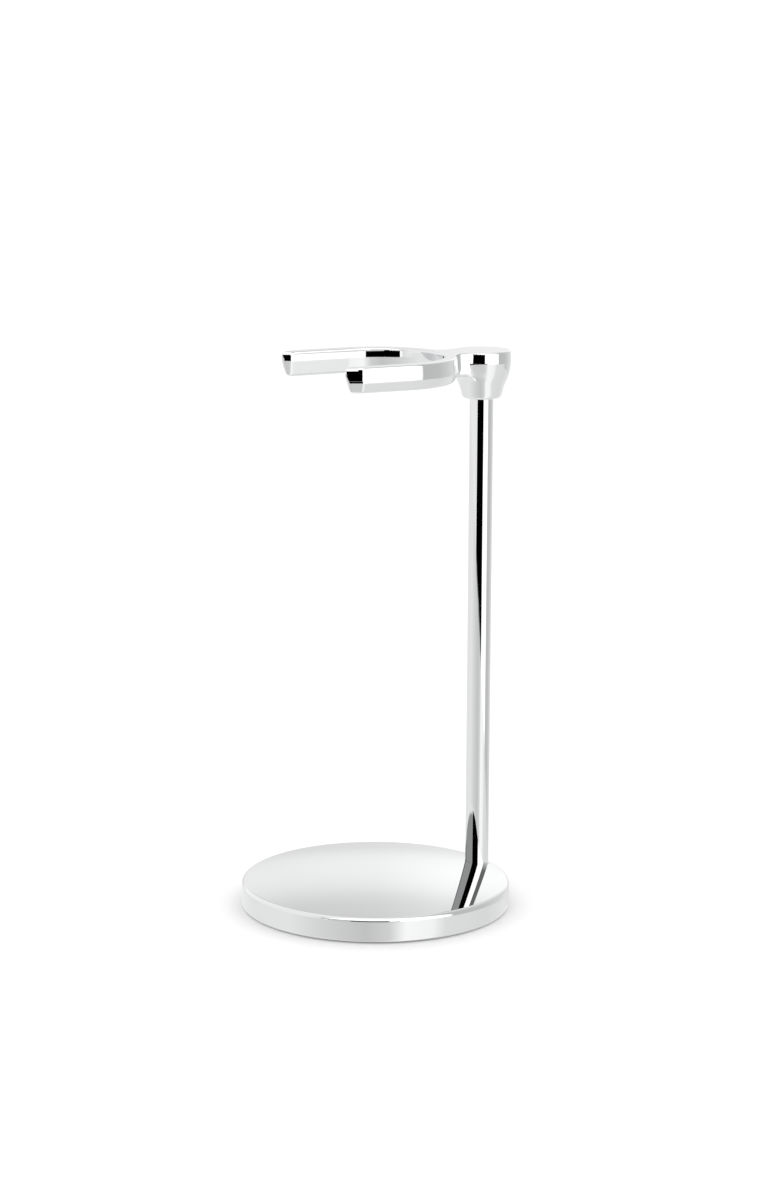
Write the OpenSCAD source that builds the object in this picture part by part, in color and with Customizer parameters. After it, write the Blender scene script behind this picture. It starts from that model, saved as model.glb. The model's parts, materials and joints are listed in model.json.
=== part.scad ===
// Grooming stand: a weighted round base, one slim post near its rim, and a cast head
// whose open fork holds a shaving brush by its neck or a safety razor under its head.
// Millimetres. +Z is up. The origin is the centre of the pad's underside, which rests on
// the shelf. The fork opens towards -Y, the post stands at +Y, and the stand is
// symmetric about the YZ plane.

/* [Base] */
// Diameter of the round base
base_d = 68; // [67:1:76]
// Height of the rim's upper edge above the shelf
rim_h = 6.4; // [6.4:0.1:8]
// Radius of the sphere that the domed top is part of
dome_r = 215; // [180:5:230]
// Rounding of the rim's upper edge
rim_fillet = 1.0; // [0.3:0.1:1.0]
// Rounding of the rim's lower edge
foot_fillet = 0.4; // [0.2:0.1:0.6]

/* [Post] */
// Diameter of the post
post_d = 6; // [6:0.5:7]
// Distance from the base's centre to the post's axis
post_y = 29.4; // [28.6:0.1:29.4]

/* [Head] */
// Height of the head's top face above the shelf
head_top = 140.2; // [110:0.1:170]
// Radius of the fork's round seat
seat_r = 16.4; // [15:0.1:17]
// Width of the fork's arms, seen from above
arm_w = 3.5; // [3.3:0.1:3.8]
// Height of the fork's arms
arm_h = 6.4; // [6:0.1:7]
// How far the arms reach past the seat's centre
arm_reach = 17.8; // [12:0.1:20]
// Largest radius of the boss
boss_r = 7.3; // [6.8:0.1:7.8]
// Height of the boss
boss_h = 12.1; // [11.5:0.1:14]
// Half the width of the neck between fork and boss
neck_half_w = 5.0; // [4:0.1:5.5]

/* [Underside] */
// Thickness of the non-slip pad
pad_t = 1.0; // [0.8:0.1:1.2]
// Thickness of the pad's adhesive film
film_t = 0.2; // [0.2:0.05:0.3]
// Radius of the steel ballast disc
ballast_r = 24.4; // [18:0.1:24.4]
// Thickness of the ballast disc
ballast_t = 4.0; // [3:0.1:4.2]

/* [Hidden] */

$fn = 96;
eps = 0.01;

// Radial clearances: a part in its seat, and a thread in its tapped hole
seat_gap = 0.05;
thread_gap = 0.03;

// The base's outer surface
base_r = base_d / 2;
pad_proud = 0.4;
dome_z = rim_h - sqrt(dome_r * dome_r - base_r * base_r);
rim_fillet_x = base_r - rim_fillet;
rim_fillet_z = dome_z + sqrt(pow(dome_r - rim_fillet, 2) - pow(rim_fillet_x, 2));
dome_tangent_x = rim_fillet_x * dome_r / (dome_r - rim_fillet);
function dome_height(r) = dome_z + sqrt(dome_r * dome_r - r * r);

// The base's underside
pad_r = base_r - 1.65;
pad_recess_r = pad_r + 0.25;
recess_z = pad_t + film_t;
ballast_top = recess_z + ballast_t;
ballast_pocket_r = ballast_r + 0.15;

// The post's foot stands in a shallow socket in the dome
foot_z = dome_height(post_y + post_d / 2) - 0.35;
post_top = head_top - boss_h + 3;

// M3 low-head screw, spring washer and small flat washer under the post. Every screw
// has a hexagonal socket 2 mm across its flats.
m3_r = 1.5;
base_screw_len = 10;
base_head_r = 2.75;
base_head_h = 2.0;
spring_t = 0.7;
spring_r = 2.8;
flat_t = 0.5;
flat_r = 3.0;
counterbore_r = 3.15;
head_underside_gap = 0.2;
base_head_z = recess_z + head_underside_gap;
spring_z = base_head_z + base_head_h;
flat_z = spring_z + spring_t;
screw_seat_z = flat_z + flat_t;
m3_clear_r = 1.7;
key_r = 1 / cos(30);
m3_key_depth = 1.2;
post_tap_depth = 8.5;

// M3 countersunk screws that hold the ballast disc
ballast_screw_x = 12;
csk_head_r = 2.8;
csk_len = 6;
csk_bore_top = recess_z + csk_len + 0.4;
ballast_key_depth = 1.0;

// M4 headless stud between the post and the boss
stud_r = 2;
stud_len = 16;
stud_z = post_top - 9;
stud_key_depth = 2;
stud_bore_top = stud_z + stud_len + 0.4;
thread_chamfer = 0.35;

// The arm's cross-section: upright walls above, sloping walls below
top_edge_r = 0.4;
inner_upright = 2.6;
outer_upright = 3.9;
inner_lean = 0.7;
outer_lean = 0.9;
bottom_edge_r = 0.7;
tip_undercut = 1.4;

// The arms' tips, seen from above: both walls turn in by tip_angle towards a small nose
tip_angle = 25;
tip_outer_cut = 1.75;
tip_corner_r = 0.8;
tip_nose_r = 0.45;

// The boss's profile: a slightly drafted wall, then a bowl down to the post
boss_draft = 0.2;
boss_wall_h = 5.8;
bowl_mid = [5.8, -8.5];
bowl_end = [4.7, -11.2];
bowl_steps = 10;
boss_edge_r = 0.5;
boss_foot_r = 0.8;
neck_fillet = 1.6;
neck_h = arm_h - 0.4;

chrome_color = [0.86, 0.87, 0.88];
steel_color = [0.6, 0.61, 0.62];
ballast_color = [0.33, 0.34, 0.35];
pad_color = [0.12, 0.12, 0.13];
film_color = [0.9, 0.89, 0.84];

// --- Shapes that repeat -----------------------------------------------------------

// A threaded shank drawn at its outer diameter, with a chamfered tip
module shank(r, length) {
    cylinder(r = r, h = length - thread_chamfer);
    translate([0, 0, length - thread_chamfer])
        cylinder(r1 = r, r2 = r - thread_chamfer, h = thread_chamfer);
}

// A hexagonal key socket, sunk upwards from z = 0
module key_socket(r, depth) {
    translate([0, 0, -eps]) cylinder(r = r, h = depth + eps, $fn = 6);
}

// A square with one rounded corner at its upper right, from the origin's lower left
module rounded_top_right(w, h, r) {
    square([w - r, h]);
    square([w, h - r]);
    translate([w - r, h - r]) circle(r);
}

// --- The head ---------------------------------------------------------------------

// Half of the arm's section, from its middle to one wall, with its top at z = 0
module arm_half_section(upright, lean) {
    half_w = arm_w / 2;
    union() {
        translate([0, -upright]) rounded_top_right(half_w, upright, top_edge_r);
        polygon([[0, -upright + eps], [half_w, -upright + eps],
                 [half_w - lean, -arm_h + bottom_edge_r],
                 [half_w - lean - bottom_edge_r, -arm_h], [0, -arm_h]]);
        translate([half_w - lean - bottom_edge_r, -arm_h + bottom_edge_r])
            intersection() {
                circle(bottom_edge_r);
                translate([-bottom_edge_r, -bottom_edge_r]) square(2 * bottom_edge_r);
            }
    }
}

// The arm's section, with its inner wall at x = seat_r
module arm_section() {
    translate([seat_r + arm_w / 2, 0]) {
        arm_half_section(outer_upright, outer_lean);
        mirror([1, 0]) arm_half_section(inner_upright, inner_lean);
    }
}

// One arm seen from above, on the +X side
module arm_outline() {
    outer_x = seat_r + arm_w;
    nose_x = outer_x - tip_outer_cut - tip_nose_r * cos(tip_angle);
    nose_y = -arm_reach + tip_nose_r;
    facet_y = nose_y - tip_nose_r * sin(tip_angle);
    inner_cut = arm_w - tip_outer_cut - 2 * tip_nose_r * cos(tip_angle);
    // Distance from the nose back to the corner where a wall starts to turn in
    function corner_y(wall_cut) = facet_y
        + (cos(tip_angle) * (wall_cut - tip_corner_r) + tip_corner_r) / sin(tip_angle);
    hull() {
        translate([nose_x, nose_y]) circle(tip_nose_r);
        translate([outer_x - tip_corner_r, corner_y(tip_outer_cut)]) circle(tip_corner_r);
        translate([seat_r + tip_corner_r, corner_y(inner_cut)]) circle(tip_corner_r);
        translate([seat_r, -1]) square([arm_w, 1 + eps]);
    }
}

// The fork seen from above
module fork_outline() {
    outer_r = seat_r + arm_w;
    intersection() {
        circle(outer_r);
        translate([-outer_r, 0]) square([2 * outer_r, outer_r]);
    }
    for (side = [-1, 1]) scale([side, 1]) arm_outline();
}

// One straight arm, from the seat's centre line to its tip, undercut at the tip
module arm(side) {
    intersection() {
        difference() {
            scale([side, 1, 1]) rotate([90, 0, 0]) linear_extrude(arm_reach) arm_section();
            translate([0, -arm_reach, 0]) rotate([-atan(tip_undercut / arm_h), 0, 0])
                translate([-base_d, -base_d, -base_d]) cube([2 * base_d, base_d, 2 * base_d]);
        }
        translate([0, 0, -arm_h - eps]) linear_extrude(arm_h + 2 * eps) fork_outline();
    }
}

// Quadratic curve through the bowl's shoulder and foot
function bowl_point(t) =
    (1 - t) * (1 - t) * [boss_r - boss_draft, -boss_wall_h]
    + 2 * t * (1 - t) * bowl_mid + t * t * bowl_end;

module boss() {
    rotate_extrude() {
        polygon(concat(
            [[0, 0], [boss_r - boss_edge_r, 0]],
            [for (i = [0 : 4]) [boss_r - boss_edge_r + boss_edge_r * sin(22.5 * i),
                                -boss_edge_r + boss_edge_r * cos(22.5 * i)]],
            [for (i = [0 : bowl_steps]) bowl_point(i / bowl_steps)],
            [[bowl_end[0] - 0.15, -boss_h + 0.35], [bowl_end[0] - boss_foot_r, -boss_h], [0, -boss_h]]));
    }
}

// Where the neck meets a round wall: a flare whose sides curve into that wall. The wall
// is a circle of radius r about [0, y], and the neck leaves it towards +Y or -Y (side).
module neck_flare(y, r, side) {
    fillet_x = neck_half_w + neck_fillet;
    fillet_y = sqrt(pow(r + neck_fillet, 2) - pow(fillet_x, 2));
    flare_x = fillet_x * r / (r + neck_fillet);
    translate([0, y]) scale([1, side]) difference() {
        translate([-flare_x, 0]) square([2 * flare_x, fillet_y]);
        for (x = [-fillet_x, fillet_x]) translate([x, fillet_y]) circle(neck_fillet);
    }
}

// The neck seen from above, from inside the fork's wall to the boss's middle
module neck_outline() {
    difference() {
        union() {
            translate([-neck_half_w, seat_r]) square([2 * neck_half_w, post_y - seat_r]);
            neck_flare(0, seat_r + arm_w, 1);
            neck_flare(post_y, boss_r - boss_draft, -1);
        }
        circle(seat_r + arm_w / 2);
    }
}

module fork_head() {
    color(chrome_color) translate([0, 0, head_top]) difference() {
        union() {
            rotate_extrude(angle = 180) arm_section();
            for (side = [-1, 1]) arm(side);
            translate([0, 0, -neck_h]) linear_extrude(neck_h) neck_outline();
            translate([0, post_y, 0]) boss();
        }
        translate([0, post_y, post_top - head_top - 4]) cylinder(r = post_d / 2 + seat_gap, h = 4);
        translate([0, post_y, post_top - head_top - eps])
            cylinder(r = stud_r + thread_gap, h = stud_bore_top - post_top + eps);
    }
}

module head_stud() {
    color(steel_color) translate([0, post_y, stud_z]) difference() {
        shank(stud_r, stud_len);
        translate([0, 0, stud_len]) mirror([0, 0, 1]) key_socket(key_r, stud_key_depth);
    }
}

// --- The post ---------------------------------------------------------------------

module post() {
    end_chamfer = 0.2;
    length = post_top - foot_z;
    color(chrome_color) translate([0, post_y, foot_z]) difference() {
        union() {
            translate([0, 0, end_chamfer]) cylinder(d = post_d, h = length - 2 * end_chamfer);
            cylinder(d1 = post_d - 2 * end_chamfer, d2 = post_d, h = end_chamfer);
            translate([0, 0, length - end_chamfer])
                cylinder(d1 = post_d, d2 = post_d - 2 * end_chamfer, h = end_chamfer);
        }
        translate([0, 0, -eps]) cylinder(r = m3_r + thread_gap, h = post_tap_depth + eps);
        translate([0, 0, stud_z - foot_z]) cylinder(r = stud_r + thread_gap, h = length);
    }
}

// --- The base ---------------------------------------------------------------------

// Outline of the base cap from its axis to its rim, before anything is cut into it
module base_profile() {
    intersection() {
        translate([0, dome_z]) circle(dome_r, $fn = 720);
        translate([0, pad_proud + foot_fillet]) square([dome_tangent_x, dome_r]);
    }
    translate([0, pad_proud + foot_fillet]) square([base_r, rim_fillet_z - pad_proud - foot_fillet]);
    translate([0, pad_proud]) square([base_r - foot_fillet, foot_fillet + eps]);
    translate([base_r - foot_fillet, pad_proud + foot_fillet]) circle(foot_fillet);
    translate([rim_fillet_x, rim_fillet_z]) circle(rim_fillet);
}

module base_cap() {
    color(chrome_color) difference() {
        rotate_extrude() base_profile();
        cylinder(r = pad_recess_r, h = recess_z);
        cylinder(r = ballast_pocket_r, h = ballast_top);
        for (side = [-1, 1]) translate([side * ballast_screw_x, 0, ballast_top - eps])
            cylinder(r = m3_r + thread_gap, h = csk_bore_top - ballast_top + eps);
        translate([0, post_y, 0]) {
            cylinder(r = counterbore_r, h = screw_seat_z);
            cylinder(r = m3_clear_r, h = 2 * rim_h);
            translate([0, 0, foot_z]) cylinder(r = post_d / 2 + seat_gap, h = 2 * rim_h);
        }
    }
}

module ballast_disc() {
    color(ballast_color) difference() {
        translate([0, 0, recess_z]) cylinder(r = ballast_r, h = ballast_t);
        for (side = [-1, 1]) translate([side * ballast_screw_x, 0, recess_z - eps]) {
            cylinder(r = m3_clear_r, h = ballast_t + 2 * eps);
            cylinder(r1 = csk_head_r + seat_gap, r2 = m3_clear_r,
                     h = csk_head_r + seat_gap - m3_clear_r);
        }
    }
}

module ballast_screws() {
    color(steel_color) for (side = [-1, 1]) translate([side * ballast_screw_x, 0, recess_z])
        difference() {
            union() {
                cylinder(r1 = csk_head_r, r2 = m3_r, h = csk_head_r - m3_r);
                shank(m3_r, csk_len);
            }
            key_socket(key_r, ballast_key_depth);
        }
}

module base_screw() {
    color(steel_color) translate([0, post_y, base_head_z]) difference() {
        union() {
            cylinder(r = base_head_r, h = base_head_h);
            translate([0, 0, base_head_h]) shank(m3_r, base_screw_len);
        }
        key_socket(key_r, m3_key_depth);
    }
}

// Split spring washer, drawn flat as it is when tightened
module lock_washer() {
    split_angle = 14;
    color(steel_color) translate([0, post_y, spring_z])
        rotate_extrude(angle = 360 - split_angle)
            translate([m3_clear_r, 0]) square([spring_r - m3_clear_r, spring_t]);
}

module flat_washer() {
    color(steel_color) translate([0, post_y, flat_z]) difference() {
        cylinder(r = flat_r, h = flat_t);
        translate([0, 0, -eps]) cylinder(r = m3_clear_r, h = flat_t + 2 * eps);
    }
}

module pad_film() {
    color(film_color) translate([0, 0, pad_t]) cylinder(r = pad_r - 0.5, h = film_t);
}

module base_pad() {
    color(pad_color) cylinder(r = pad_r, h = pad_t);
}

fork_head();
head_stud();
post();
base_cap();
ballast_disc();
ballast_screws();
base_screw();
lock_washer();
flat_washer();
pad_film();
base_pad();
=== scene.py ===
"""Looks for a chromed shaving stand: cast fork head, slim post and weighted domed base.

Lengths in the shape functions are millimetres in the part's own frame (+Z up, origin on
the shelf under the base's centre, fork opening towards -Y); MM turns them into metres.
"""
import json
import math

import bpy
import numpy as np
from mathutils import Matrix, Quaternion, Vector


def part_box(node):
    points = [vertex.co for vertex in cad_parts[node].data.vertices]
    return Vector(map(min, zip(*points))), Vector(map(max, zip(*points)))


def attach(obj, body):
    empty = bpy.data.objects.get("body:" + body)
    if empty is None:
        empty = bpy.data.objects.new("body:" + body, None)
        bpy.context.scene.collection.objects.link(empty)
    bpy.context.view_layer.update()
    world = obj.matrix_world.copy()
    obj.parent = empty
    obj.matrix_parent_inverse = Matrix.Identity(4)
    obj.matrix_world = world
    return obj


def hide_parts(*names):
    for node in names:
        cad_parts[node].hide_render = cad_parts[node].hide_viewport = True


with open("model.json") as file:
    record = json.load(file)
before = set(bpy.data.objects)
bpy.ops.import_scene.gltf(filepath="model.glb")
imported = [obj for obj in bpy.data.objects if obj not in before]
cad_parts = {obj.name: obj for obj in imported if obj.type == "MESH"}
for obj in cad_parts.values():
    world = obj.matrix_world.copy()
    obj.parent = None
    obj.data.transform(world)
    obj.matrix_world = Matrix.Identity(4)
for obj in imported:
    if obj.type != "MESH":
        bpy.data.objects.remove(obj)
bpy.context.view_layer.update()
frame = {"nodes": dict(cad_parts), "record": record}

MM = 0.001


# --- Sizes, read from the frame ---------------------------------------------------------

def box_mm(node):
    low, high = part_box(node)
    return np.array(low) / MM, np.array(high) / MM


CAP_LOW, CAP_HIGH = box_mm("base_cap")
POST_LOW, POST_HIGH = box_mm("post")
HEAD_LOW, HEAD_HIGH = box_mm("fork_head")
PAD_LOW, PAD_HIGH = box_mm("base_pad")
BALLAST_LOW, BALLAST_HIGH = box_mm("ballast_disc")
STUD_LOW, STUD_HIGH = box_mm("head_stud")
WASHER_TOP = box_mm("flat_washer")[1][2]
BALLAST_SCREW_TOP = box_mm("ballast_screws")[1][2]
SEAT = next(m for m in frame["record"]["mounts"] if m["name"] == "fork_seat")

BASE_R = CAP_HIGH[0]
DOME_TOP = CAP_HIGH[2]
FOOT_Z = CAP_LOW[2]
POST_R = (POST_HIGH[0] - POST_LOW[0]) / 2
POST_Y = (POST_HIGH[1] + POST_LOW[1]) / 2
HEAD_TOP = HEAD_HIGH[2]
BOSS_H = HEAD_HIGH[2] - HEAD_LOW[2]
BOSS_R = HEAD_HIGH[1] - POST_Y
SEAT_R = SEAT["dims"]["r_mm"]
ARM_W = HEAD_HIGH[0] - SEAT_R
TIP_Y = HEAD_LOW[1]

# Holes and clearances that the boxes don't give
SOCKET_GAP = 0.05
PAD_GAP = 0.25
BALLAST_GAP = 0.15
M4_BORE_R = 2.05
M3_BORE_R = 1.55
M3_CLEAR_R = 1.7
COUNTERBORE_R = 3.15
POST_TAP_DEPTH = 8.5
BALLAST_SCREW_X = 12
BORE_RUN_OUT = 0.4


# --- Mesh helpers -----------------------------------------------------------------------

def new_object(name, verts_mm, faces):
    mesh = bpy.data.meshes.new(name)
    mesh.from_pydata((np.asarray(verts_mm) * MM).tolist(), [], faces)
    mesh.validate()
    obj = bpy.data.objects.new(name, mesh)
    bpy.context.scene.collection.objects.link(obj)
    return obj


def shade(obj, vertex_normals=None, angle=30):
    """Smooth shading, with exact normals where the shape's formula gives them."""
    mesh = obj.data
    mesh.shade_smooth()
    if vertex_normals is not None:
        mesh.normals_split_custom_set_from_vertices(vertex_normals.tolist())
    else:
        mesh.set_sharp_from_angle(angle=math.radians(angle))


def arc(centre, r, start, end, steps):
    """Points (radius, height) along an arc; angles in degrees from the radius axis."""
    a = np.radians(np.linspace(start, end, steps + 1))
    return [(centre[0] + r * math.cos(t), centre[1] + r * math.sin(t)) for t in a]


def line(a, b, steps):
    t = np.linspace(0, 1, steps + 1)
    return [(a[0] + (b[0] - a[0]) * u, a[1] + (b[1] - a[1]) * u) for u in t]


def lathe(name, profile, segments, centre=(0, 0)):
    """A closed solid of revolution about the vertical line through centre.

    profile runs from the axis at the top, down the outside, back to the axis."""
    verts, rings = [], []
    for r, z in profile:
        if r < 1e-9:
            rings.append([len(verts)])
            verts.append((centre[0], centre[1], z))
            continue
        rings.append(range(len(verts), len(verts) + segments))
        for i in range(segments):
            a = 2 * math.pi * i / segments
            verts.append((centre[0] + r * math.cos(a), centre[1] + r * math.sin(a), z))
    faces = []
    for upper, lower in zip(rings, rings[1:]):
        for i in range(segments):
            j = (i + 1) % segments
            if len(upper) == 1:
                faces.append((upper[0], lower[i], lower[j]))
            elif len(lower) == 1:
                faces.append((upper[j], upper[i], lower[0]))
            else:
                faces.append((upper[i], lower[i], lower[j], upper[j]))
    return new_object(name, verts, faces)


def cut(obj, cutters):
    """Takes the cutters out of obj for good."""
    for tool in cutters:
        step = obj.modifiers.new("cut", "BOOLEAN")
        step.operation = "DIFFERENCE"
        step.solver = "EXACT"
        step.object = tool
        with bpy.context.temp_override(object=obj, active_object=obj):
            bpy.ops.object.modifier_apply(modifier=step.name)
        bpy.data.objects.remove(tool)


def drill(r, low, high, centre, segments=96):
    return lathe("drill", [(0, high), (r, high), (r, low), (0, low)], segments, centre)


# --- Implicit shapes: negative inside, lengths in millimetres ----------------------------

def round_and(a, b, r):
    """Both shapes, their common edge rounded to radius r."""
    return np.minimum(np.maximum(a, b), -r) + np.hypot(np.maximum(a + r, 0), np.maximum(b + r, 0))


def round_or(a, b, r):
    """Either shape, the corner between them filled to radius r."""
    return np.maximum(np.minimum(a, b), r) - np.hypot(np.maximum(r - a, 0), np.maximum(r - b, 0))


def soft_and(a, b, k):
    """Both shapes, eased together where they meet at a shallow angle."""
    return np.maximum(a, b) + np.maximum(k - np.abs(a - b), 0) ** 2 / (4 * k)


def gradient(field, p, h=2e-3):
    g = np.empty_like(p)
    for axis in range(3):
        step = np.zeros(3)
        step[axis] = h
        g[:, axis] = (field(p + step) - field(p - step)) / (2 * h)
    return g


def onto_surface(field, p, rounds):
    for _ in range(rounds):
        g = gradient(field, p)
        p = p - g * (field(p) / np.maximum((g * g).sum(1), 1e-6))[:, None]
    return p


CUBE_EDGES = [(a, b) for a in range(8) for b in range(8) if a < b and bin(a ^ b).count("1") == 1]


def skin(field, low, high, pitch, relax=8):
    """Quads on the zero surface of field: one vertex per grid cell that the surface
    crosses, evened out along the surface and then put exactly on it."""
    axes = [np.arange(low[k], high[k] + pitch, pitch) for k in range(3)]
    shape = tuple(len(a) for a in axes)
    grid = np.stack(np.meshgrid(*axes, indexing="ij"), -1).reshape(-1, 3)
    value = np.concatenate([field(c) for c in np.array_split(grid, 24)]).reshape(shape)
    corner = [(i & 1, i >> 1 & 1, i >> 2 & 1) for i in range(8)]
    cells = tuple(n - 1 for n in shape)
    at = [value[x:x + cells[0], y:y + cells[1], z:z + cells[2]] for x, y, z in corner]
    total = np.zeros(cells + (3,))
    count = np.zeros(cells)
    for a, b in CUBE_EDGES:
        crossed = (at[a] < 0) != (at[b] < 0)
        t = np.where(crossed, at[a] / np.where(crossed, at[a] - at[b], 1), 0)
        start, end = np.array(corner[a], float), np.array(corner[b], float)
        total += crossed[..., None] * (start + t[..., None] * (end - start))
        count += crossed
    used = count > 0
    index = np.full(cells, -1)
    index[used] = np.arange(used.sum())
    where = np.argwhere(used)
    verts = np.array([a[0] for a in axes]) + pitch * (where + total[used] / count[used][:, None])
    quads = []
    for k in range(3):
        i, j = (k + 1) % 3, (k + 2) % 3
        n = list(shape)
        n[k] -= 1
        first = np.take(value, range(n[k]), axis=k) < 0
        second = np.take(value, range(1, n[k] + 1), axis=k) < 0
        for inside, outside, flip in ((first, second, False), (second, first, True)):
            e = np.argwhere(inside & ~outside)
            e = e[(e[:, i] > 0) & (e[:, j] > 0)]
            ring = []
            for di, dj in ((-1, -1), (0, -1), (0, 0), (-1, 0)):
                c = e.copy()
                c[:, i] += di
                c[:, j] += dj
                ring.append(index[c[:, 0], c[:, 1], c[:, 2]])
            quad = np.stack(ring, 1)
            quads.append(quad[:, ::-1] if flip else quad)
    quads = np.concatenate(quads)
    verts = onto_surface(field, verts, 3)
    pairs = np.concatenate([quads[:, [m, (m + 1) % 4]] for m in range(4)])
    for _ in range(relax):
        mean = np.zeros_like(verts)
        links = np.zeros(len(verts))
        for a, b in ((0, 1), (1, 0)):
            np.add.at(mean, pairs[:, a], verts[pairs[:, b]])
            np.add.at(links, pairs[:, a], 1)
        move = mean / links[:, None] - verts
        n = gradient(field, verts)
        n /= np.linalg.norm(n, axis=1)[:, None]
        verts = verts + 0.6 * (move - n * (move * n).sum(1)[:, None])
        verts = onto_surface(field, verts, 1)
    verts = onto_surface(field, verts, 3)
    normals = gradient(field, verts)
    return verts, quads, normals / np.linalg.norm(normals, axis=1)[:, None]


# --- The head: fork, neck and boss as one casting ----------------------------------------
# Heights in these shapes are measured from the head's flat top, so they are negative.

ARM_H = 6.4
INNER_WAIST = 0.6
INNER_UPRIGHT = 2.3
OUTER_WAIST = 3.0
OUTER_UPRIGHT = 3.9
INNER_LEAN = math.radians(10.4)
OUTER_LEAN = math.radians(19.8)
WALL_DRAFT = math.radians(3.5)
INNER_DRAFT = math.radians(1.7)
WAIST_EASE = 0.03
KNEE_EASE = 0.05
TIP_ANGLE = math.radians(25)
TIP_OUTER_CUT = 1.75
TIP_NOSE_R = 0.45
TIP_UPRIGHT = 1.8
TIP_UNDERCUT = math.radians(17)
TIP_EASE = 0.3
TIP_TOP_R = 0.9
TIP_TOP_REACH = 3
OUTER_TURN_EASE = 0.12
INNER_TURN_EASE = 0.2
TOP_EDGE_R = 0.45
BOTTOM_EDGE_R = 0.8
NECK_HALF_W = 5.0
NECK_RISE = 0.4
NECK_FILLET = 1.6
BOSS_TOP = (BOSS_R - 0.03, 0)
BOSS_BELLY = (BOSS_R + 0.05, -2.9)
BOSS_SHOULDER = (6.95, -6.2)
BOSS_BOWL_END = (4.8, -10.6)
BOSS_COLLAR_R = 4.65
BOSS_COLLAR_Z = -9
BELLY_EASE = 0.01
BOWL_EASE = 0.7
COLLAR_FILLET = 1.5
BOSS_FOOT_R = 0.9


def tilted(offset, depth, angle):
    """A wall that leans in by angle below depth; offset is the distance to the upright wall."""
    return offset * math.cos(angle) - depth * math.sin(angle)


def barrel(offset, z, waist, knee, lean, draft=0.0):
    """A cast wall, widest at the waist: it leans in by WALL_DRAFT above the waist, by draft
    below it, and by lean below the knee."""
    above = tilted(offset, z + waist, -WALL_DRAFT)
    middle = tilted(offset, z + waist, draft)
    below = soft_and(middle, tilted(offset, z + knee, lean), KNEE_EASE)
    return soft_and(above, below, WAIST_EASE)


def arm_field(x, y, z):
    """The fork: one section carried round the seat and along both arms to their noses."""
    side = np.abs(x)
    inside = np.where(y > 0, np.hypot(x, y), side) - SEAT_R
    nose_outer = ARM_W - TIP_OUTER_CUT
    nose_inner = nose_outer - 2 * TIP_NOSE_R * math.cos(TIP_ANGLE)
    facet_y = TIP_Y + TIP_NOSE_R * (1 - math.sin(TIP_ANGLE))
    along = facet_y - y
    outer_facet = (inside - nose_outer) * math.cos(TIP_ANGLE) + along * math.sin(TIP_ANGLE)
    inner_facet = (nose_inner - inside) * math.cos(TIP_ANGLE) + along * math.sin(TIP_ANGLE)
    outer = soft_and(inside - ARM_W, np.where(y > 0, -ARM_W, outer_facet), OUTER_TURN_EASE)
    inner = soft_and(-inside, np.where(y > 0, -ARM_W, inner_facet), INNER_TURN_EASE)
    tip = soft_and(TIP_Y - y, tilted(TIP_Y - y, z + TIP_UPRIGHT, TIP_UNDERCUT), TIP_EASE)
    outer = barrel(outer, z, OUTER_WAIST, OUTER_UPRIGHT, OUTER_LEAN)
    inner = barrel(inner, z, INNER_WAIST, INNER_UPRIGHT, INNER_LEAN, INNER_DRAFT)
    body = round_and(outer, inner, TIP_NOSE_R)
    body = round_and(body, tip, TIP_NOSE_R)
    body = round_and(body, z, np.where(y < TIP_Y + TIP_TOP_REACH, TIP_TOP_R, TOP_EDGE_R))
    return round_and(body, -z - ARM_H, BOTTOM_EDGE_R)


def slope(r, z, start, end):
    """Cone through two (radius, height) points, the first one higher."""
    dr, dz = end[0] - start[0], end[1] - start[1]
    length = math.hypot(dr, dz)
    return ((r - start[0]) * -dz + (z - start[1]) * dr) / length


def boss_field(x, y, z):
    """A wall that widens to the belly, turns in to the shoulder, then a bowl and a collar."""
    r = np.hypot(x, y - POST_Y)
    upper = slope(r, z, BOSS_TOP, BOSS_BELLY)
    wall = soft_and(upper, slope(r, z, BOSS_BELLY, BOSS_SHOULDER), BELLY_EASE)
    bowl = slope(r, z, BOSS_SHOULDER, BOSS_BOWL_END)
    side = soft_and(wall, bowl, BOWL_EASE)
    side = round_and(side, z, TOP_EDGE_R)
    side = round_or(side, np.maximum(r - BOSS_COLLAR_R, z - BOSS_COLLAR_Z), COLLAR_FILLET)
    return round_and(side, -z - BOSS_H, BOSS_FOOT_R)


def neck_field(x, y, z):
    """The short block between seat and boss, a little less deep than the arms."""
    side = np.abs(x) - NECK_HALF_W
    ends = np.maximum(SEAT_R + ARM_W / 2 - y, y - POST_Y)
    body = round_and(np.maximum(side, ends), z, TOP_EDGE_R)
    return round_and(body, -z - ARM_H + NECK_RISE, BOTTOM_EDGE_R)


def head_field(p):
    """The whole casting, with the seat kept open and the post's and the stud's bores."""
    x, y, z = p[:, 0], p[:, 1], p[:, 2] - HEAD_TOP
    solid = round_or(arm_field(x, y, z), neck_field(x, y, z), NECK_FILLET)
    solid = round_or(solid, boss_field(x, y, z), NECK_FILLET)
    solid = np.maximum(solid, z)
    seat = SEAT_R - np.hypot(x, y)
    solid = np.where(y > 0, np.maximum(solid, seat), solid)
    from_axis = np.hypot(x, y - POST_Y)
    socket = np.maximum(from_axis - POST_R - SOCKET_GAP, p[:, 2] - POST_HIGH[2])
    stud_bore = np.maximum(from_axis - M4_BORE_R, p[:, 2] - STUD_HIGH[2] - BORE_RUN_OUT)
    return np.maximum(solid, -np.minimum(socket, stud_bore))


def make_head():
    margin = 0.9
    pitch = 0.35
    verts, quads, normals = skin(head_field, HEAD_LOW - margin, HEAD_HIGH + margin, pitch)
    head = new_object("fork_casting", verts, quads.tolist())
    shade(head, normals)
    return head


# --- The post and the base ----------------------------------------------------------------

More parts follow.
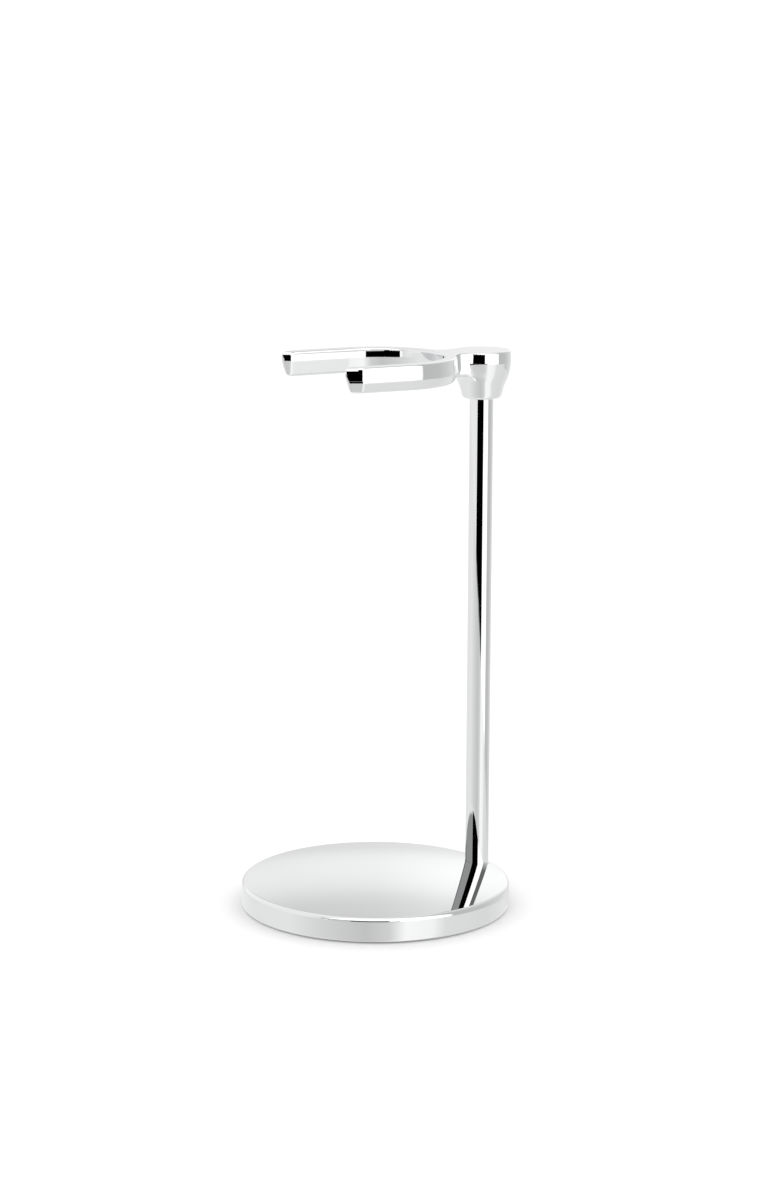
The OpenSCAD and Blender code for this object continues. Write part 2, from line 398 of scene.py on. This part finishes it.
def make_post():
    """A chamfered rod, bored for the stud above and for the base screw below."""
    chamfer = 0.2
    low, high = POST_LOW[2], POST_HIGH[2]
    stud_floor = STUD_LOW[2]
    tap_top = low + POST_TAP_DEPTH
    profile = [(0, stud_floor), (M4_BORE_R, stud_floor), (M4_BORE_R, high), (POST_R - chamfer, high)]
    profile += line((POST_R, high - chamfer), (POST_R, low + chamfer), 60)
    profile += [(POST_R - chamfer, low), (M3_BORE_R, low), (M3_BORE_R, tap_top), (0, tap_top)]
    post = lathe("post_rod", profile, 128, (0, POST_Y))
    shade(post)
    return post


def smooth_dome(mesh, r, centre_z):
    """Gives the dome's faces the sphere's own normals, also where the post's socket cuts them."""
    mesh.update()
    tolerance = 0.004
    corners = [Vector(c.vector) for c in mesh.corner_normals]
    centre = Vector((0, 0, centre_z * MM))
    outward = [v.co - centre for v in mesh.vertices]
    for face in mesh.polygons:
        if all(abs(outward[v].length / MM - r) < tolerance for v in face.vertices):
            for corner, v in zip(face.loop_indices, face.vertices):
                corners[corner] = outward[v].normalized()
    mesh.normals_split_custom_set(corners)


def make_cap():
    """The domed shell: its outline, pad recess and ballast pocket turned, its holes drilled."""
    rim_h = 6.4
    rim_fillet = 1.0
    foot_fillet = 0.4
    rise = DOME_TOP - rim_h
    dome_r = (BASE_R ** 2 + rise ** 2) / (2 * rise)
    dome_z = DOME_TOP - dome_r
    fillet_x = BASE_R - rim_fillet
    fillet_z = dome_z + math.sqrt((dome_r - rim_fillet) ** 2 - fillet_x ** 2)
    tangent = math.degrees(math.atan2(fillet_z - dome_z, fillet_x))
    recess_r = PAD_HIGH[0] + PAD_GAP
    pocket_r = BALLAST_HIGH[0] + BALLAST_GAP
    recess_z, pocket_z = BALLAST_LOW[2], BALLAST_HIGH[2]
    profile = arc((0, dome_z), dome_r, 90, tangent, 40)
    profile[0] = (0, DOME_TOP)
    profile += arc((fillet_x, fillet_z), rim_fillet, tangent, 0, 10)[1:]
    profile += line((BASE_R, fillet_z), (BASE_R, FOOT_Z + foot_fillet), 4)[1:]
    profile += arc((BASE_R - foot_fillet, FOOT_Z + foot_fillet), foot_fillet, 0, -90, 6)[1:]
    profile += [(recess_r, FOOT_Z), (recess_r, recess_z), (pocket_r, recess_z),
                (pocket_r, pocket_z), (0, pocket_z)]
    cap = lathe("base_shell", profile, 256)
    at_post = (0, POST_Y)
    post_socket = drill(POST_R + SOCKET_GAP, POST_LOW[2], DOME_TOP + 1, at_post)
    counterbore = drill(COUNTERBORE_R, -1, WASHER_TOP, at_post)
    screw_hole = drill(M3_CLEAR_R, 1, POST_LOW[2] + 1, at_post)
    tapped_top = BALLAST_SCREW_TOP + BORE_RUN_OUT
    tapped = [drill(M3_BORE_R, pocket_z - 1, tapped_top, (x, 0), 48)
              for x in (-BALLAST_SCREW_X, BALLAST_SCREW_X)]
    cut(cap, [post_socket, counterbore, screw_hole] + tapped)
    shade(cap)
    smooth_dome(cap.data, dome_r, dome_z)
    return cap


def make_pad():
    """A thin disc with softened edges."""
    edge = 0.15
    r, low, high = PAD_HIGH[0], PAD_LOW[2], PAD_HIGH[2]
    profile = [(0, high)] + line((r / 3, high), (r - edge, high), 3)
    profile += arc((r - edge, high - edge), edge, 90, 0, 3)[1:]
    profile += arc((r - edge, low + edge), edge, 0, -90, 3)
    profile += line((r - edge, low), (r / 3, low), 3)[1:] + [(0, low)]
    pad = lathe("foot_pad", profile, 192)
    shade(pad)
    return pad


# --- Materials ------------------------------------------------------------------------------

class Nodes:
    """Short names for building a node tree."""

    def __init__(self, tree):
        self.tree = tree

    def add(self, kind, **values):
        node = self.tree.nodes.new("ShaderNode" + kind)
        for key, value in values.items():
            setattr(node, key, value)
        return node

    def put(self, socket, value):
        if isinstance(value, bpy.types.NodeSocket):
            self.tree.links.new(value, socket)
        else:
            socket.default_value = value

    def math(self, operation, *values):
        node = self.add("Math", operation=operation)
        for socket, value in zip(node.inputs, values):
            self.put(socket, value)
        return node.outputs[0]

    def noise(self, vector, scale, detail=2.0, roughness=0.5):
        node = self.add("TexNoise")
        self.put(node.inputs["Vector"], vector)
        self.put(node.inputs["Scale"], scale)
        self.put(node.inputs["Detail"], detail)
        self.put(node.inputs["Roughness"], roughness)
        return node.outputs["Fac"]

    def spread(self, value, low, high, to_low, to_high, smooth=True):
        node = self.add("MapRange")
        node.interpolation_type = "SMOOTHSTEP" if smooth else "LINEAR"
        for name, v in (("Value", value), ("From Min", low), ("From Max", high),
                        ("To Min", to_low), ("To Max", to_high)):
            self.put(node.inputs[name], v)
        return node.outputs["Result"]

    def above(self, value, edge, soft):
        return self.spread(self.math("SUBTRACT", value, edge), -soft, soft, 0, 1)

    def below(self, value, edge, soft):
        return self.math("SUBTRACT", 1, self.above(value, edge, soft))

    def between(self, value, low, high, soft):
        return self.math("MULTIPLY", self.above(value, low, soft), self.below(value, high, soft))

    def mix(self, first, second, factor):
        kept = self.math("MULTIPLY", first, self.math("SUBTRACT", 1, factor))
        return self.math("ADD", kept, self.math("MULTIPLY", second, factor))

    def curve(self, value, points):
        """Straight lines through (value, level) points; levels up to 4."""
        low, high = points[0][0], points[-1][0]
        brightest = 4
        ramp = self.add("ValToRGB")
        self.put(ramp.inputs[0], self.spread(value, low, high, 0, 1, smooth=False))
        ramp.color_ramp.interpolation = "LINEAR"
        stops = ramp.color_ramp.elements
        while len(stops) < len(points):
            stops.new(0.5)
        for stop, (at, level) in zip(stops, points):
            share = level / brightest
            stop.position = (at - low) / (high - low)
            stop.color = (share, share, share, 1)
        return self.math("MULTIPLY", ramp.outputs[0], brightest)


def new_material(name, base_color, metallic=0.0, roughness=0.5):
    mat = bpy.data.materials.new(name)
    mat.use_nodes = True
    shader = mat.node_tree.nodes["Principled BSDF"]
    shader.inputs["Base Color"].default_value = (*base_color, 1)
    shader.inputs["Metallic"].default_value = metallic
    shader.inputs["Roughness"].default_value = roughness
    n = Nodes(mat.node_tree)
    place = n.add("TexCoord").outputs["Object"]
    return mat, n, shader, place


def bump(n, shader, height, distance):
    node = n.add("Bump")
    node.inputs["Distance"].default_value = distance
    n.put(node.inputs["Height"], height)
    n.put(shader.inputs["Normal"], node.outputs["Normal"])


def chrome():
    """Mirror chrome: a faint waviness left by polishing, and a trace of haze."""
    mat, n, shader, place = new_material("polished_chrome", (0.885, 0.89, 0.895), 1.0, 0.03)
    haze = n.noise(place, 90.0, 3.0)
    n.put(shader.inputs["Roughness"], n.spread(haze, 0.35, 0.75, 0.012, 0.035))
    bump(n, shader, n.noise(place, 140.0, 1.0), 0.000004)
    return mat


def zinc():
    mat, n, shader, place = new_material("zinc_plate", (0.62, 0.63, 0.65), 1.0, 0.3)
    n.put(shader.inputs["Roughness"], n.spread(n.noise(place, 900.0), 0.3, 0.7, 0.22, 0.4))
    bump(n, shader, n.noise(place, 2500.0), 0.00001)
    return mat


def raw_steel():
    mat, n, shader, place = new_material("turned_steel", (0.33, 0.34, 0.35), 1.0, 0.4)
    n.put(shader.inputs["Roughness"], n.spread(n.noise(place, 400.0), 0.3, 0.7, 0.35, 0.5))
    return mat


def film():
    mat, n, shader, place = new_material("adhesive", (0.9, 0.89, 0.84), 0.0, 0.5)
    n.put(shader.inputs["Roughness"], n.spread(n.noise(place, 600.0), 0.3, 0.7, 0.4, 0.6))
    return mat


def rubber():
    """Matt non-slip sheet with a fine grain."""
    mat, n, shader, place = new_material("black_rubber", (0.03, 0.03, 0.032), 0.0, 0.75)
    grain = n.noise(place, 3200.0, 3.0, 0.6)
    n.put(shader.inputs["Roughness"], n.spread(grain, 0.3, 0.7, 0.65, 0.85))
    bump(n, shader, grain, 0.00005)
    return mat


# --- Studio ---------------------------------------------------------------------------------

CAMERA_AZIMUTH = 63.0
CAMERA_ROLL = 0.25
CAMERA_ELEVATION = 11.912
CAMERA_DISTANCE = 765.0
CAMERA_AIM_Z = 74.4
CAMERA_LENS = 91.987
# Where the aimed point lies in the picture: to the left and down, in degrees
AIM_LEFT = 0.2531
AIM_DOWN = 0.3643


def make_camera():
    """Stands at the object's azimuth, aimed so that the stand sits a little left of centre."""
    data = bpy.data.cameras.new("camera")
    cam = bpy.data.objects.new("camera", data)
    bpy.context.scene.collection.objects.link(cam)
    data.sensor_fit = "AUTO"
    data.sensor_width = 36
    data.lens = CAMERA_LENS
    data.clip_start, data.clip_end = 0.01, 100
    a, e = math.radians(CAMERA_AZIMUTH), math.radians(CAMERA_ELEVATION)
    back = Vector((math.sin(a) * math.cos(e), -math.cos(a) * math.cos(e), math.sin(e)))
    aim = Vector((0, 0, CAMERA_AIM_Z)) * MM
    cam.location = aim + back * CAMERA_DISTANCE * MM
    straight = Vector((0, 0, -1))
    off_x, off_y = -math.tan(math.radians(AIM_LEFT)), -math.tan(math.radians(AIM_DOWN))
    wanted = Vector((off_x, off_y, -1)).normalized()
    turn = (-back).to_track_quat("-Z", "Y")
    look = turn @ (wanted.rotation_difference(straight) @ straight)
    roll = Quaternion((0, 0, 1), math.radians(CAMERA_ROLL))
    cam.rotation_mode = "QUATERNION"
    cam.rotation_quaternion = look.to_track_quat("-Z", "Y") @ roll
    bpy.context.scene.camera = cam


# Brightness of the studio. Bearings run from the camera's side (0) to the right (+90) and
# round behind the stand (180); elevations are above the horizon. Both are in degrees.
TABLE = [(-180, 0.9), (-124, 0.84), (-80, 0.86), (-40, 0.70), (-8, 0.60), (12, 0.70),
         (26, 1.05), (50, 1.0), (62, 0.80), (110, 0.76), (150, 0.86), (180, 0.9)]
WALLS = [(-180, 1.2), (-165, 1.1), (-130, 0.95), (-90, 0.90), (-60, 0.92), (-46, 0.8), (-41, 1.3),
         (66, 1.3), (69, 0.54), (100, 0.57), (150, 0.82), (175, 1.25), (180, 1.25)]
BACKDROP = [(-90, 0.7), (-12, 0.7), (0, 0.765), (4, 0.79), (7, 0.86), (10, 0.92), (14, 0.955),
            (18, 0.955), (22, 0.925), (25, 0.87), (28, 0.785), (31, 0.725), (36, 0.685), (50, 0.68),
            (90, 0.9)]
BACKDROP_SIDES = [(-0.1, 0.95), (0, 1.0), (0.08, 1.13), (0.1, 1.13)]
BACKDROP_FROM, BACKDROP_EASE = 150, 12
TABLE_EDGE, TABLE_EDGE_SLOPE, TABLE_EDGE_EASE = -12.1, -0.034, 0.25
ROOM_LIGHT = 1.2
# The world counts a ray's depth as 2 after one mirror image and as 3 after two
TWO_MIRRORS = 2.5


def bearings(n):
    """The looked-at direction's bearing and elevation, and its share towards the right."""
    way = n.add("SeparateXYZ")
    n.put(way.inputs[0], n.add("TexCoord").outputs["Generated"])
    x, y, z = way.outputs
    a = math.radians(CAMERA_AZIMUTH)
    front = n.math("ADD", n.math("MULTIPLY", x, math.sin(a)), n.math("MULTIPLY", y, -math.cos(a)))
    right = n.math("ADD", n.math("MULTIPLY", x, math.cos(a)), n.math("MULTIPLY", y, math.sin(a)))
    az = n.math("DEGREES", n.math("ARCTAN2", right, front))
    el = n.math("DEGREES", n.math("ARCSINE", z))
    return az, el, right


def side_panels(n, level, az, el, deep):
    """Gray and dark panels left and right, met only after two reflections."""
    gray = n.math("MULTIPLY", n.between(az, -135, -46, 3), n.between(el, 6, 39, 2))
    right_dark = n.math("MULTIPLY", n.between(az, 68, 150, 3), n.between(el, 11, 37, 3))
    left_dark = n.math("MULTIPLY", n.between(az, -160, -136, 2), n.between(el, 8, 39, 2))
    for panel, shade_level in ((gray, 0.33), (right_dark, 0.15), (left_dark, 0.03)):
        level = n.mix(level, shade_level, n.math("MULTIPLY", panel, deep))
    return level


def black_panel(n, az, el, deep):
    """The dark panel on the camera's side: wide below the horizon, narrow near it, and
    reaching high up only after two reflections."""
    wide = n.math("MULTIPLY", n.between(az, -40.5, 20.5, 0.6), n.below(el, -6, 0.3))
    narrow = n.math("MULTIPLY", n.between(az, -20.6, 10.6, 0.6), n.between(el, -6, 7, 0.3))
    top = n.math("ADD", 13.5, n.math("MULTIPLY", deep, 36.5))
    high = n.math("MULTIPLY", n.between(az, -46, 12, 1.0), n.between(el, 1, top, 0.5))
    return n.math("MAXIMUM", n.math("MAXIMUM", wide, narrow), high)


def make_world():
    world = bpy.data.worlds.new("studio")
    bpy.context.scene.world = world
    world.use_nodes = True
    world.node_tree.nodes.clear()
    n = Nodes(world.node_tree)
    az, el, right = bearings(n)
    path = n.add("LightPath")
    deep = n.math("GREATER_THAN", path.outputs["Ray Depth"], TWO_MIRRORS)
    backdrop = n.math("MULTIPLY", n.curve(el, BACKDROP), n.curve(right, BACKDROP_SIDES))
    behind = n.above(n.math("ABSOLUTE", az), BACKDROP_FROM, BACKDROP_EASE)
    level = n.mix(n.curve(az, WALLS), backdrop, behind)
    level = side_panels(n, level, az, el, deep)
    level = n.mix(level, 0.0, black_panel(n, az, el, deep))
    edge = n.math("ADD", TABLE_EDGE, n.math("MULTIPLY", az, TABLE_EDGE_SLOPE))
    level = n.mix(n.curve(az, TABLE), level, n.above(el, edge, TABLE_EDGE_EASE))
    level = n.mix(ROOM_LIGHT, level, path.outputs["Is Glossy Ray"])
    shader = n.add("Background")
    n.put(shader.inputs["Color"], (1, 1, 1, 1))
    n.put(shader.inputs["Strength"], level)
    n.tree.links.new(shader.outputs[0], n.add("OutputWorld").inputs[0])


def make_floor():
    """A plain white sweep just under the pad, left out of the mirror images."""
    size = 6.0
    z = -0.0001
    corners = [(-size, -size, z), (size, -size, z), (size, size, z), (-size, size, z)]
    mesh = bpy.data.meshes.new("floor")
    mesh.from_pydata(corners, [], [(0, 1, 2, 3)])
    floor = bpy.data.objects.new("floor", mesh)
    bpy.context.scene.collection.objects.link(floor)
    mat, _, shader, _ = new_material("white_sweep", (0.92, 0.92, 0.92), 0.0, 0.9)
    shader.inputs["Specular IOR Level"].default_value = 0.0
    mesh.materials.append(mat)
    floor.visible_glossy = False


# --- Assembly -------------------------------------------------------------------------------

CHROME, ZINC, STEEL, FILM, RUBBER = chrome(), zinc(), raw_steel(), film(), rubber()


def place(piece, material, slot, *nodes):
    piece.data.materials.append(material)
    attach(piece, "root")
    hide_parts(*nodes)


def dress(node, material):
    obj = frame["nodes"][node]
    for s in obj.material_slots:
        s.material = material


place(make_head(), CHROME, "polished_chrome", "fork_head")
place(make_post(), CHROME, "polished_chrome", "post")
place(make_cap(), CHROME, "polished_chrome", "base_cap")
place(make_pad(), RUBBER, "black_rubber", "base_pad")
for node in ("head_stud", "ballast_screws", "base_screw", "lock_washer", "flat_washer"):
    dress(node, ZINC)
dress("ballast_disc", STEEL)
dress("pad_film", FILM)

make_camera()
make_world()
make_floor()
bpy.context.scene.view_settings.view_transform = "Standard"
